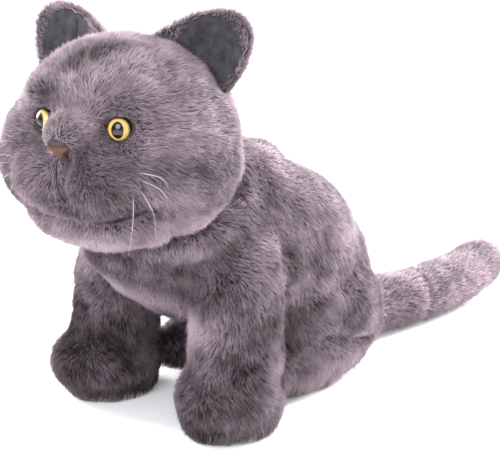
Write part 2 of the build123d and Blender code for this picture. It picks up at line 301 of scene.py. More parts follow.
def fur_material(name, dark, light, pale, glow):
    """Pile fibre: darker at the root, mottled over the coat with painted sheen, toned by each strand's
    shade, which carries painted light and shade, and letting light through its tips.
    """
    material, tree, output = new_material(name)
    along = tree.nodes.new("ShaderNodeAttribute")
    along.attribute_name = "along"
    shade = tree.nodes.new("ShaderNodeAttribute")
    shade.attribute_name = "shade"
    # Painted sheen: lighter and darker blotches stand for the nap lying different ways.
    painted_sheen_patches = math_node(tree, "SUBTRACT", object_noise(tree, FUR_SHEEN_PATCH_SIZE, 1.5), 0.5)
    streaks = math_node(tree, "SUBTRACT", object_noise(tree, FUR_STREAK_SIZE, 2.0), 0.5)
    tone = math_node(tree, "MULTIPLY", along.outputs["Fac"], 0.40)
    tone = math_node(tree, "ADD", tone, math_node(tree, "MULTIPLY", shade.outputs["Fac"], 0.42))
    tone = math_node(tree, "ADD", tone, math_node(tree, "MULTIPLY", painted_sheen_patches, 1.10))
    tone = math_node(tree, "ADD", tone, math_node(tree, "MULTIPLY", streaks, 0.60))
    tone = math_node(tree, "MULTIPLY", tone, 0.75)
    # The pale end of this ramp is reached mostly where the painted rim light lifts the tone.
    colour = ramp(tree, tone, [(0.0, dark), (0.58, light), (1.0, pale)])
    shader = principled(tree, 0.62, colour)
    shader.inputs["Specular IOR Level"].default_value = 0.35
    through = tree.nodes.new("ShaderNodeBsdfTranslucent")
    tree.links.new(colour, through.inputs["Color"])
    mix = tree.nodes.new("ShaderNodeMixShader")
    mix.inputs["Fac"].default_value = glow
    tree.links.new(shader.outputs["BSDF"], mix.inputs[1])
    tree.links.new(through.outputs["BSDF"], mix.inputs[2])
    tree.links.new(mix.outputs["Shader"], output.inputs["Surface"])
    return material


def cloth_material(name, dark, light, size, roughness, sheen=0.0, depth=0.0004):
    """Cloth with an uneven tone and a fine nap of this size."""
    material, tree, output = new_material(name)
    tone = object_noise(tree, size * 12, 3.0)
    shader = principled(tree, roughness, ramp(tree, tone, [(0.3, dark), (0.7, light)]))
    shader.inputs["Sheen Weight"].default_value = sheen
    tree.links.new(bump(tree, object_noise(tree, size, 4.0), 0.6, depth), shader.inputs["Normal"])
    tree.links.new(shader.outputs["BSDF"], output.inputs["Surface"])
    return material


def plastic_material(name, dark, light, size, roughness, coat=0.0):
    """Moulded plastic with a faint unevenness in tone and surface."""
    material, tree, output = new_material(name)
    tone = object_noise(tree, size * 4, 2.0)
    shader = principled(tree, roughness, ramp(tree, tone, [(0.3, dark), (0.7, light)]))
    shader.inputs["Coat Weight"].default_value = coat
    shader.inputs["Specular IOR Level"].default_value = 0.3
    tree.links.new(bump(tree, object_noise(tree, size, 2.0), 0.15, 0.0002), shader.inputs["Normal"])
    tree.links.new(shader.outputs["BSDF"], output.inputs["Surface"])
    return material


fur = fur_material("coat fur", (0.034, 0.021, 0.024), (0.66, 0.54, 0.60), (0.92, 0.83, 0.88), 0.42)
backing = cloth_material("pile backing", (0.035, 0.026, 0.028), (0.06, 0.045, 0.05), 0.0006, 0.95)
velour = cloth_material("ear velour", (0.012, 0.011, 0.015), (0.050, 0.046, 0.056), 0.0005, 0.8, 0.12)
filling = cloth_material("fibre filling", (0.62, 0.62, 0.62), (0.82, 0.82, 0.82), 0.001, 0.95)
pouch_cloth = cloth_material("pouch cloth", (0.48, 0.47, 0.43), (0.60, 0.59, 0.55), 0.0005, 0.9)
thread = cloth_material("dark thread", (0.010, 0.007, 0.007), (0.028, 0.02, 0.02), 0.0003, 0.8)
nylon = plastic_material("whisker nylon", (0.74, 0.73, 0.72), (0.86, 0.85, 0.84), 0.004, 0.35)
nose_plastic = plastic_material("nose plastic", (0.060, 0.027, 0.018), (0.095, 0.045, 0.030), 0.0008, 0.42)
washer_plastic = plastic_material("washer plastic", (0.66, 0.66, 0.64), (0.76, 0.76, 0.74), 0.002, 0.45)
pellet_plastic = plastic_material("pellet plastic", (0.55, 0.55, 0.53), (0.8, 0.8, 0.78), 0.0012, 0.5)


def eye_material(name, side):
    """A painted eye under a clear dome: upright oval pupil, streaked amber iris and dark rim."""
    material, tree, output = new_material(name)
    place = tree.nodes.new("ShaderNodeTexCoord")
    shift = tree.nodes.new("ShaderNodeVectorMath")
    shift.operation = "SUBTRACT"
    shift.inputs[1].default_value = eye_centre(side)
    tree.links.new(place.outputs["Object"], shift.inputs[0])
    turn = tree.nodes.new("ShaderNodeVectorRotate")
    turn.rotation_type = "Z_AXIS"
    turn.inputs["Angle"].default_value = -(HEAD_YAW + side * EYE_TURN)
    tree.links.new(shift.outputs["Vector"], turn.inputs["Vector"])
    parts = tree.nodes.new("ShaderNodeSeparateXYZ")
    tree.links.new(turn.outputs["Vector"], parts.inputs["Vector"])
    across = math_node(tree, "DIVIDE", parts.outputs["X"], EYE_RADIUS)
    up = math_node(tree, "DIVIDE", parts.outputs["Z"], EYE_RADIUS)
    across_2 = math_node(tree, "MULTIPLY", across, across)
    up_2 = math_node(tree, "MULTIPLY", up, up)
    from_middle = math_node(tree, "SQRT", math_node(tree, "ADD", across_2, up_2))
    oval_across = math_node(tree, "DIVIDE", across_2, PUPIL_ACROSS**2)
    oval_up = math_node(tree, "DIVIDE", up_2, PUPIL_UP**2)
    oval = math_node(tree, "SQRT", math_node(tree, "ADD", oval_across, oval_up))
    streaks = object_noise(tree, 0.0012, 4.0)
    iris_tone = math_node(tree, "ADD", from_middle, math_node(tree, "MULTIPLY", streaks, 0.25))
    iris = ramp(tree, iris_tone, IRIS_TONES)
    pupil_edge = ramp(tree, oval, [(0.94, (0, 0, 0)), (1.0, (1, 1, 1))])
    rim_edge = ramp(tree, from_middle, [(0.86, (1, 1, 1)), (0.93, (0, 0, 0))])
    paint = tree.nodes.new("ShaderNodeMix")
    paint.data_type = "RGBA"
    tree.links.new(math_node(tree, "MULTIPLY", pupil_edge, rim_edge), paint.inputs["Factor"])
    colour_inputs = [s for s in paint.inputs if s.type == "RGBA"]
    colour_inputs[0].default_value = PUPIL_COLOUR
    tree.links.new(iris, colour_inputs[1])
    result = [s for s in paint.outputs if s.type == "RGBA"][0]
    shader = principled(tree, 0.35, result)
    shader.inputs["Specular IOR Level"].default_value = 0.1
    shader.inputs["Coat Weight"].default_value = 1.0
    shader.inputs["Coat Roughness"].default_value = 0.02
    shader.inputs["Coat IOR"].default_value = 1.5
    tree.links.new(shader.outputs["BSDF"], output.inputs["Surface"])
    return material


def dress(obj, material):
    obj.data.materials.clear()
    obj.data.materials.append(material)
    return obj


# ---- Pile ----
def scatter(mesh, count, keep):
    """Points spread evenly by area over the mesh where keep(places, normals) is above zero."""
    mesh.calc_loop_triangles()
    corners = np.empty(len(mesh.loop_triangles) * 3, int)
    mesh.loop_triangles.foreach_get("vertices", corners)
    corners = corners.reshape(-1, 3)
    places, normals = vertex_arrays(mesh)
    a, b, c = (places[corners[:, k]] for k in range(3))
    area = np.linalg.norm(np.cross(b - a, c - a), axis=1)
    weight = area * keep((a + b + c) / 3, normals[corners[:, 0]])
    chosen = rng.choice(len(corners), count, p=weight / weight.sum())
    u, v = rng.random(count), rng.random(count)
    over = u + v > 1
    u[over], v[over] = 1 - u[over], 1 - v[over]
    w = 1 - u - v
    share = np.stack([w, u, v], axis=1)[:, :, None]
    roots = (places[corners[chosen]] * share).sum(axis=1)
    facing = unit((normals[corners[chosen]] * share).sum(axis=1))
    return roots, facing


def strand_mesh(name, rings, tips, along, shade):
    """Thin three-sided spikes: rings is (levels, strands, 3 corners, xyz)."""
    levels, count = rings.shape[0], rings.shape[1]
    per_strand = levels * 3 + 1
    places = np.concatenate([rings.transpose(1, 0, 2, 3).reshape(count, -1, 3), tips[:, None, :]], axis=1)
    mesh = bpy.data.meshes.new(name)
    mesh.vertices.add(count * per_strand)
    mesh.vertices.foreach_set("co", places.astype(np.float32).ravel())
    quads = []
    for level in range(levels - 1):
        low, high = level * 3, level * 3 + 3
        quads += [[low + k, low + (k + 1) % 3, high + (k + 1) % 3, high + k] for k in range(3)]
    last = (levels - 1) * 3
    caps = [[last + k, last + (k + 1) % 3, levels * 3] for k in range(3)]
    one = np.array([i for face in quads + caps for i in face])
    sizes = np.array([4] * len(quads) + [3] * len(caps))
    starts = np.concatenate([[0], np.cumsum(sizes)[:-1]])
    base = np.arange(count)[:, None]
    mesh.loops.add(count * len(one))
    mesh.loops.foreach_set("vertex_index", (base * per_strand + one).astype(np.int32).ravel())
    mesh.polygons.add(count * len(sizes))
    mesh.polygons.foreach_set("loop_start", (base * len(one) + starts).astype(np.int32).ravel())
    mesh.polygons.foreach_set("loop_total", np.tile(sizes, count).astype(np.int32))
    mesh.update(calc_edges=True)
    heights = np.concatenate([np.repeat(along[:-1], 3), along[-1:]])
    for label, values in (("along", np.tile(heights, count)), ("shade", np.repeat(shade, per_strand))):
        layer = mesh.attributes.new(label, "FLOAT", "POINT")
        layer.data.foreach_set("value", values.astype(np.float32))
    pack_strand_uvs(mesh, count, one, heights)
    shade_smooth(mesh)
    return mesh


def pack_strand_uvs(mesh, count, corner_of_loop, heights):
    """Each strand unwrapped into its own cell of a square grid."""
    cells = math.ceil(math.sqrt(count))
    strand = np.arange(count)
    column, row = strand % cells, strand // cells
    side = (corner_of_loop % 3) / 3.0
    u = (column[:, None] + 0.15 + 0.7 * side) / cells
    v = (row[:, None] + 0.1 + 0.8 * heights[corner_of_loop]) / cells
    layer = mesh.uv_layers.new(name="OFBake")
    layer.data.foreach_set("uv", np.stack([u, v], axis=2).astype(np.float32).ravel())


def clumped(tips):
    """Tips drawn part of the way to the middle of their lock."""
    warp = np.stack([waves(tips, 0.02, seed) for seed in (3, 4, 5)], axis=1) * CLUMP_SIZE
    cells = np.floor((tips + warp) / CLUMP_SIZE).astype(int)
    _, lock = np.unique(cells, axis=0, return_inverse=True)
    lock = lock.ravel()
    total = np.zeros((lock.max() + 1, 3))
    np.add.at(total, lock, tips)
    middle = total / np.bincount(lock)[:, None]
    return tips + (middle[lock] - tips) * CLUMP_PULL, lock


def grow(name, skin, count, nap, keep, length, lift=0.75, limit=None, tone=None, unrest=0.42):
    """Pile over a skin, split into pieces that are light enough to export."""
    roots, facing = scatter(skin.data, count, keep)
    flow = nap(roots)
    flow = flow - facing * (flow * facing).sum(axis=1, keepdims=True)
    flow = unit(flow)
    flow = unit(flow + PILE_SCATTER * rng.normal(size=flow.shape))
    long = length(roots) * (0.82 + 0.13 * waves(roots, 0.03, 8) + 0.14 * rng.random(count))
    if limit is not None:
        long = np.minimum(long, limit(roots))
    rise = np.maximum(lift + unrest * waves(roots, 0.030, 9) + 0.12 * rng.normal(size=count), LEAST_RISE)
    start = unit(facing * rise[:, None] + flow)
    middle = roots + start * long[:, None] * 0.5
    tips = middle + unit(facing * rise[:, None] * 0.45 + flow) * long[:, None] * 0.5
    tips, lock = clumped(tips)
    side = unit(np.cross(start, facing + 1e-4))
    over = np.cross(start, side)
    rings = []
    for centre, width in ((roots - facing * 0.001, 1.0), (middle, 0.85)):
        ring = []
        for k in range(3):
            turn = 2 * math.pi * k / 3
            reach = STRAND_WIDTH / 2 * width
            ring.append(centre + side * (math.cos(turn) * reach) + over * (math.sin(turn) * reach))
        rings.append(np.stack(ring, axis=1))
    rings = np.stack(rings)
    lock_shade = np.random.default_rng(17).random(lock.max() + 1)[lock]
    shade = 0.35 * lock_shade + 0.35 * rng.random(count) + 0.3 * (0.5 + 0.5 * waves(roots, 0.045, 11))
    # Painted light and shade: the tone adds a painted rim light and painted shade to each strand's shade.
    if tone is not None:
        shade = shade + tone(roots)
    along = np.array([0.0, 0.5, 1.0])
    pieces = math.ceil(count / STRANDS_PER_PIECE)
    made = []
    for i in range(pieces):
        part = slice(i, None, pieces)
        label = f"{name}_{i + 1}" if pieces > 1 else name
        mesh = strand_mesh(label, rings[:, part], tips[part], along, shade[part])
        obj = add_object(label, mesh)
        dress(obj, fur)
        made.append(obj)
    return made


# ---- Skins ----
body_nodes = node_names("torso_", "chest_panel", "base_panel", "front_", "haunch_", "hind_")
NECK_FILL = 0.0487
NAPE_FROM_Z = 0.160
NAPE_FROM_Y = -0.125
NAPE_DROP = 0.009
NAPE_FADE = 0.03
CREASE_DEPTH = 0.006
CREASE_WIDTH = 0.008
PHILTRUM_LINE = [(0, -0.003), (0, -0.012), (0, -0.021), (0, -0.030)]
PHILTRUM_DEPTH = 0.006
PHILTRUM_WIDTH = 0.0035
JAW_LINE = [(-0.052, -0.030), (-0.032, -0.042), (0, -0.047), (0.030, -0.046), (0.058, -0.037)]
JAW_DEPTH = 0.009
JAW_WIDTH = 0.005
BODY_SWELLINGS = [
    (NECK_PIVOT, (NECK_FILL, NECK_FILL, NECK_FILL), 0.0),
    (Vector((0, -0.142, 0.150)), (0.070, 0.068, 0.030), 0.0),
    (Vector((0.065, -0.141, 0.029)), (0.037, 0.045, 0.029), 0.0),
    (Vector((-0.066, -0.143, 0.029)), (0.039, 0.045, 0.029), 0.0),
    (Vector((0.046, -0.040, 0.026)), (0.027, 0.066, 0.025), 0.0),
    (Vector((-0.046, -0.040, 0.026)), (0.027, 0.066, 0.025), 0.0),
]


def lower_nape(mesh):
    """The shoulders brought down behind the neck."""
    places, _ = vertex_arrays(mesh)
    share = fade(places[:, 2] - NAPE_FROM_Z, NAPE_FADE) * fade(places[:, 1] - NAPE_FROM_Y, NAPE_FADE)
    places[:, 2] -= NAPE_DROP * share
    move_vertices(mesh, places)


def shorten_tail(mesh):
    """The end of the tail drawn in towards its middle."""
    places, _ = vertex_arrays(mesh)
    places[:, 1] -= np.maximum(places[:, 1] - TAIL_SHORTENED_FROM, 0) * TAIL_SHORTENED_BY
    move_vertices(mesh, places)


body_skin = skin_from("body_skin", body_nodes, BODY_VOXEL, PILE_INSET, 5, BODY_SWELLINGS)
lower_nape(body_skin.data)

HEAD_SWELLINGS = [
    ((0.0, -0.069, 0.013), (0.020, 0.021, 0.018)),
    ((0.002, -0.0345, -0.048), (0.060, 0.037, 0.0265)),
    ((0.0, -0.060, -0.040), (0.030, 0.020, 0.016)),
]
for side in (1, -1):
    HEAD_SWELLINGS += [
        ((side * 0.021, -0.061, -0.021), (0.030, 0.026, 0.023)),
        ((side * 0.042, -0.010, -0.014), (0.048, 0.058, 0.050)),
        ((side * 0.030, -0.036, 0.034), (0.026, 0.026, 0.018)),
    ]
head_nodes = node_names("head_", "chin_panel", "muzzle_")
head_skin = skin_from(
    "head_skin",
    head_nodes,
    HEAD_VOXEL,
    PILE_INSET,
    4,
    [(head_point(centre), radii, HEAD_YAW) for centre, radii in HEAD_SWELLINGS],
)
face_tree = tree_of(head_skin)
PHILTRUM = face_path(face_tree, PHILTRUM_LINE)
JAW = face_path(face_tree, JAW_LINE)
press(head_skin.data, PHILTRUM, PHILTRUM_DEPTH, PHILTRUM_WIDTH)
press(head_skin.data, JAW, JAW_DEPTH, JAW_WIDTH)

tail_nodes = node_names("tail_")
tail_skin = skin_from("tail_skin", tail_nodes, TAIL_VOXEL, TAIL_PILE_INSET, 6)
shorten_tail(tail_skin.data)

CREASES = []
for side in (1, -1):
    thigh = [(side * 0.080, -0.055, 0.050), (side * 0.072, -0.030, 0.046), (side * 0.074, 0.010, 0.034)]
    leg_back = [(side * 0.080, -0.100, 0.150), (side * 0.086, -0.098, 0.120), (side * 0.090, -0.098, 0.080)]
    CREASES += [thigh, leg_back]
for crease in CREASES:
    press(body_skin.data, crease, CREASE_DEPTH, CREASE_WIDTH)

head_tree = tree_of(head_skin)

# ---- How the pile lies ----
HEAD_PILE_ROOM = 0.015
NECK_BARE_ON_BODY = 0.047
NECK_BARE_ON_HEAD = 0.049
NOSE_BARE = 0.008
SEAT_BARE_Z = 0.006
SOLE_BARE_Z = 0.02
# Painted rim light: the pile is made pale along this line under the chest.
CHEST_PAINTED_RIM = [
    (-0.062, -0.163, 0.128),
    (-0.036, -0.184, 0.108),
    (-0.010, -0.188, 0.098),
    (0.020, -0.172, 0.086),
    (0.048, -0.160, 0.084),
]
CHEST_PAINTED_RIM_WIDTH = 0.017
# Painted shade: the pile is made darker on the left thigh, on the legs and on the inner sides.
THIGH_SHADE = [(0.078, -0.070, 0.095), (0.080, -0.045, 0.060)]
THIGH_SHADE_WIDTH = 0.030
LEG_SHADE_TOP = 0.150
LEG_SHADE_BACK = -0.060
LEG_SHADE_IN = 0.028
INNER_SHADE_TOP = 0.085
INNER_SHADE_OUT = 0.055
INNER_SHADE_BACK = -0.020


def room_to(tree, reach):
    """A limit on strand length: the free way out from each root to another skin."""

    def limit(roots):
        free = np.full(len(roots), 1.0)
        for i in range(len(roots)):
            _, _, _, distance = tree.find_nearest(Vector(roots[i]), reach)
            if distance is not None:
                free[i] = distance * 0.75
        return free

    return limit


def body_nap(roots):
    """The coat runs down and back, and forwards over the feet."""
    flow = np.tile([0.0, 0.35, -1.0], (len(roots), 1))
    feet = fade(0.035 - roots[:, 2], 0.03)
    flow[:, 1] -= 1.2 * feet
    flow[:, 0] += 0.55 * waves(roots, 0.06, 21)
    flow[:, 1] += 0.55 * waves(roots, 0.06, 22)
    return flow


def body_keep(places, normals):
    """No pile inside the neck, under the seat or on the soles."""
    from_neck = np.linalg.norm(places - np.array(NECK_PIVOT), axis=1)
    inside_neck = (from_neck < NECK_BARE_ON_BODY) & (places[:, 1] < NECK_PIVOT.y)
    underside = (places[:, 2] < SEAT_BARE_Z) | ((normals[:, 2] < -0.85) & (places[:, 2] < SOLE_BARE_Z))
    return np.where(inside_neck | underside, 0.0, 1.0)


def head_nap(roots):
    """The coat runs away from the nose, and down over the cheeks."""
    nose = np.array(head_point(NOSE_TIP))
    flow = unit(roots - nose)
    flow[:, 2] -= 0.35
    flow[:, 0] += 0.40 * waves(roots, 0.04, 31)
    flow[:, 2] += 0.40 * waves(roots, 0.04, 32)
    return flow


def head_keep(places, normals):
    """No pile inside the neck, on the eyes or on the nose."""
    from_neck = np.linalg.norm(places - np.array(NECK_PIVOT), axis=1)
    keep = np.where(from_neck < NECK_BARE_ON_HEAD, 0.0, 1.0)
    for side in SIDES.values():
        keep[np.linalg.norm(places - np.array(eye_centre(side)), axis=1) < EYE_CLEAR] = 0.0
    nose = np.array(head_point(NOSE_TIP))
    keep[np.linalg.norm(places - nose, axis=1) < NOSE_BARE] = 0.0
    return keep


def tail_nap(roots):
    return np.tile([0.0, 1.0, -0.15], (len(roots), 1))


def everywhere(places, normals):
    return np.ones(len(places))


def face_length(roots):
    """Shorter pile round the nose, the eyes and the seams of the face."""
    nose = np.array(head_point(NOSE_TIP))
    share = np.clip(np.linalg.norm(roots - nose, axis=1) / 0.045, 0.38, 1.0)
    for side in SIDES.values():
        from_eye = np.linalg.norm(roots - np.array(eye_centre(side)), axis=1)
        share = np.minimum(share, np.clip(from_eye / 0.03, 0.35, 1.0))
    for path in (PHILTRUM, JAW):
        share = np.minimum(share, np.clip(along_path(roots, path) / 0.010, 0.45, 1.0))
    return STRAND_LENGTH * share


def body_length(roots):
    """Shorter pile in the creases."""
    share = np.ones(len(roots))
    for crease in CREASES:
        share = np.minimum(share, np.clip(along_path(roots, crease) / 0.012, 0.5, 1.0))
    return STRAND_LENGTH * share


def body_painted_light(roots):
    """A pale strip under the chest as a painted rim light, and painted shade making the legs, the left
    thigh and the inner sides darker.
    """
    x, y, z = roots.T
    out = np.abs(x)
    painted_rim = near_path(roots, CHEST_PAINTED_RIM, CHEST_PAINTED_RIM_WIDTH)
    thigh = near_path(roots, THIGH_SHADE, THIGH_SHADE_WIDTH)
    painted_leg_shade = fade(LEG_SHADE_TOP - z, 0.05) * fade(LEG_SHADE_BACK - y, 0.04) * fade(out - LEG_SHADE_IN, 0.02)
    inner = fade(INNER_SHADE_TOP - z, 0.04) * fade(INNER_SHADE_OUT - out, 0.03)
    inner *= fade(INNER_SHADE_BACK - y, 0.03)
    return 1.9 * painted_rim - 0.42 * painted_leg_shade * (1 - painted_rim) - 0.40 * thigh - 0.40 * inner


def head_tone_and_painted_rim(roots):
    """A paler jaw as a painted rim light, a paler bridge of the nose, and a darker forehead."""
    local = (roots - np.array(HEAD_CENTRE)) @ np.array(HEAD_TURNED)
    x, y, z = local.T
    front = fade(-y, 0.05)
    # Painted rim light: the pile along the jaw made paler.
    jaw = fade(-0.040 - z, 0.02)
    bridge = np.exp(-(((x / 0.016) ** 2) + ((z - 0.016) / 0.014) ** 2)) * front
    forehead = np.exp(-(((x / 0.030) ** 2) + ((z - 0.050) / 0.022) ** 2)) * front
    return 0.60 * jaw + 0.60 * bridge - 0.35 * forehead


def tail_length(roots):
    return np.full(len(roots), STRAND_LENGTH * 1.1)


body_fur = grow(
    "body_fur",
    body_skin,
    BODY_STRANDS,
    body_nap,
    body_keep,
    body_length,
    limit=room_to(head_tree, HEAD_PILE_ROOM),
    tone=body_painted_light,
)
head_fur = grow("head_fur", head_skin, HEAD_STRANDS, head_nap, head_keep, face_length, tone=head_tone_and_painted_rim)
tail_fur = grow("tail_fur", tail_skin, TAIL_STRANDS, tail_nap, everywhere, tail_length, unrest=0.15)

for skin, nodes in ((body_skin, body_nodes), (head_skin, head_nodes), (tail_skin, tail_nodes)):
    dress(skin, backing)
    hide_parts(*nodes)

# ---- Ears: a cupped shell with pile on its back and rim, and a smooth lining with a fold ----
EAR_BASE_REACH = 0.078
EAR_LINE = Vector((0.770, 0.0, -0.637))
EAR_OUTLINE = [
    (-0.034, -0.014),
    (-0.028, 0.006),
    (-0.019, 0.024),
    (-0.006, 0.037),
    (0.007, 0.042),
    (0.019, 0.037),
    (0.028, 0.022),
    (0.032, 0.004),
    (0.032, -0.014),
]
EAR_MIDDLE = (0.001, 0.008)
EAR_FOLD = [(-0.022, 0.014, 0.0), (-0.010, 0.008, 0.0), (0.000, -0.002, 0.0), (0.006, -0.014, 0.0)]
EAR_FOLD_DEPTH = 0.0050
EAR_FOLD_WIDTH = 0.0055
EAR_CUP = 0.009
EAR_SHELL = 0.007
EAR_RINGS = 16
EAR_STEPS = 72
EAR_FIRST_RING = 0.06
LINING_REACH = 0.90
LINING_FRONT = 0.0030
LINING_BACK = -0.0012
SHELL_FRONT = 0.0006
EAR_PILE_LENGTH = 0.0065
EAR_LIFT = 0.55
EAR_BARE_REACH = 0.024


def smooth_outline(points, steps):
    """Points along a rounded closed line, sides through the given points and straight across the base."""
    rows = np.array(points)
    t = np.linspace(0, len(rows) - 1, steps)
    i = np.clip(t.astype(int), 0, len(rows) - 2)
    f = (t - i)[:, None]
    before, after = rows[np.maximum(i - 1, 0)], rows[np.minimum(i + 2, len(rows) - 1)]
    here, there = rows[i], rows[i + 1]
    square = 2 * before - 5 * here + 4 * there - after
    cube = 3 * (here - there) + after - before
    curve = here + 0.5 * f * (there - before + f * (square + f * cube))
    base = np.linspace(rows[-1], rows[0], steps // 4)[1:-1]
    return np.concatenate([curve, base])


def ear_surface(share, outline, lift):
    """(across, up, forward) of one ring of the ear at this share of the way out to its rim."""
    flat = np.array(EAR_MIDDLE) + (outline - np.array(EAR_MIDDLE)) * share
    forward = -EAR_CUP * (1 - share**2) + lift
    return np.column_stack([flat, np.broadcast_to(forward, len(flat))])


def ear_mesh(name, frame_of_ear, rim, front_lift, back_lift):
    """A closed shell between a front surface and a back surface that meet at the rim."""
    outline = smooth_outline(EAR_OUTLINE, EAR_STEPS)
    shares = np.linspace(EAR_FIRST_RING, rim, EAR_RINGS)
    rows = []
    for lift in (front_lift, -back_lift):
        for share in shares:
            ring = ear_surface(share, outline, lift * (1 - (share / rim) ** 6))
            if lift == front_lift:
                level = np.column_stack([ring[:, :2], np.zeros(len(ring))])
                ring[:, 2] -= EAR_FOLD_DEPTH * near_path(level, EAR_FOLD, EAR_FOLD_WIDTH)
            rows.append(ring)
    per = len(outline)
    places = np.concatenate(rows)
    middle = len(places)
    centres = np.array([[*EAR_MIDDLE, -EAR_CUP + front_lift], [*EAR_MIDDLE, -EAR_CUP - back_lift]])
    places = np.concatenate([places, centres])
    faces = []
    for layer in range(2):
        start = layer * EAR_RINGS * per
        for r in range(EAR_RINGS - 1):
            for k in range(per):
                a, b = start + r * per + k, start + r * per + (k + 1) % per
                face = (a, b, b + per, a + per)
                faces.append(face if layer else face[::-1])
        for k in range(per):
            face = (start + k, start + (k + 1) % per, middle + layer)
            faces.append(face[::-1] if layer else face)
    outer_front, outer_back = (EAR_RINGS - 1) * per, (2 * EAR_RINGS - 1) * per
    for k in range(per):
        n = (k + 1) % per
        faces.append((outer_front + k, outer_front + n, outer_back + n, outer_back + k))
    mesh = bpy.data.meshes.new(name)
    placed = [frame_of_ear @ Vector(row) for row in places.tolist()]
    mesh.from_pydata(placed, [], faces)
    work = bmesh.new()
    work.from_mesh(mesh)
    bmesh.ops.remove_doubles(work, verts=work.verts, dist=0.00005)
    bmesh.ops.recalc_face_normals(work, faces=work.faces)
    work.to_mesh(mesh)
    work.free()
    shade_smooth(mesh)
    return add_object(name, mesh)


def ear_nap_for(ear_up, centre):
    """The pile of an ear runs up and away from its middle."""

    def nap(roots):
        return ear_up + 0.6 * unit(roots - centre)

    return nap


def ear_keep_for(ear_front, inverse):
    """Full pile on the back of an ear, thinner on its front, and none behind the lining."""

    def keep(places, normals):
        local = places @ inverse[:3, :3].T + inverse[:3, 3]
        reach = np.linalg.norm(local[:, :2] - np.array(EAR_MIDDLE), axis=1)
        facing_front = normals @ ear_front > 0.3
        inner = facing_front & (reach < EAR_BARE_REACH)
        return np.where(inner, 0.0, np.where(facing_front, 0.5, 1.0))

    return keep


def ear_length(roots):
    return np.full(len(roots), EAR_PILE_LENGTH)


ear_across = (EAR_LINE - EAR_UP * EAR_LINE.dot(EAR_UP)).normalized()
ear_forward = ear_across.cross(EAR_UP)
ears = {}
for side_name, side in SIDES.items():
    turned = HEAD_TURNED @ Matrix.Diagonal((side, 1, 1))
    axes = [turned @ v for v in (ear_across, EAR_UP, ear_forward)]
    ear_axes = Matrix([[v[r] for v in axes] for r in range(3)]).to_4x4()
    base = turned @ (EAR_UP * EAR_BASE_REACH)
    ear_frame = Matrix.Translation(HEAD_CENTRE + base + EAR_SETTLE[side_name]) @ ear_axes
    back = ear_mesh(f"ear_skin_{side_name}", ear_frame, 1.0, SHELL_FRONT, EAR_SHELL + EAR_FOLD_DEPTH)
    lining = ear_mesh(f"ear_velour_{side_name}", ear_frame, LINING_REACH, LINING_FRONT, LINING_BACK)
    pile = grow(
        f"ear_fur_{side_name}",
        back,
        EAR_STRANDS,
        ear_nap_for(np.array(axes[1]), np.array(ear_frame @ Vector((*EAR_MIDDLE, 0)))),
        ear_keep_for(np.array(axes[2]), np.array(ear_frame.inverted())),
        ear_length,
        EAR_LIFT,
    )
    dress(back, backing)
    dress(lining, velour)
    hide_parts(f"ear_back_{side_name}")
    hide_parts(f"ear_lining_{side_name}")
    ears[side_name] = (back, lining, pile)

# ---- Face ----
for side_name, side in SIDES.items():
    dress(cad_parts[f"eye_lens_{side_name}"], eye_material(f"eye {side_name}", side))
    dress(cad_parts[f"eye_washer_{side_name}"], washer_plastic)
dress(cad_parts["nose_washer"], washer_plastic)
dress(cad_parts["mouth_thread"], thread)
dress(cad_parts["neck_thread"], thread)
dress(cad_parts["pellet_fill"], pellet_plastic)

WHISKERS = [
    # root (x, z) on the face, then how far it runs out, back and down, and its sag
    ((0.046, -0.010), (0.022, 0.012, -0.012), 0.012),
    ((0.048, -0.014), (0.018, 0.014, -0.022), 0.012),
    ((0.050, -0.019), (0.010, 0.008, -0.036), 0.008),
    ((0.048, -0.022), (-0.006, 0.002, -0.046), 0.005),
]
WHISKER_RADIUS = 0.00021
WHISKER_STEPS = 14


def whisker_set(name, side):
    """Fine bristles that leave the cheek and droop, thinning to their ends."""
    work = bmesh.new()
    for (x, z), run, sag in WHISKERS:
        root = Vector(face_path(face_tree, [(side * x, z)])[0])
        reach = HEAD_TURNED @ Vector((side * run[0], run[1], run[2]))
        bend = HEAD_TURNED @ Vector((side * sag, -0.004, sag * 0.5))
        out = HEAD_TURNED @ Vector((side * 0.5, -0.8, 0)) * 0.004
        tilt = reach.to_track_quat("Z", "Y")
        rings = []
        for i in range(WHISKER_STEPS + 1):
            t = i / WHISKER_STEPS
            centre = root + out * min(1.0, 3 * t) + reach * t + bend * (4 * t * (1 - t))
            radius = WHISKER_RADIUS * (1 - 0.75 * t)
            corners = [Vector((math.cos(a), math.sin(a), 0)) for a in (0.0, 2.1, 4.2)]
            rings.append([work.verts.new(centre + tilt @ (c * radius)) for c in corners])
        for low, high in zip(rings[:-1], rings[1:]):
            for k in range(3):
                work.faces.new((low[k], low[(k + 1) % 3], high[(k + 1) % 3], high[k]))
        work.faces.new(rings[0][::-1])
        work.faces.new(rings[-1])
    mesh = bpy.data.meshes.new(name)
    work.to_mesh(mesh)
    work.free()
    shade_smooth(mesh)
    return add_object(name, mesh)


whisker_sets = []
for side_name, side in SIDES.items():
    bristles = whisker_set(f"whisker_set_{side_name}", side)
    dress(bristles, nylon)
    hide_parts(f"whiskers_{side_name}")
    whisker_sets.append(bristles)

NOSTRIL_SIDE = 0.0042
NOSTRIL_DROP = -0.0018
NOSTRIL_RADIUS = 0.0014
NOSTRIL_DEPTH = 0.0016
GROOVE_WIDTH = 0.0009
GROOVE_DEPTH = 0.0008
NOSE_WIDENED = 0.16
NOSE_FLATTENED = 0.12


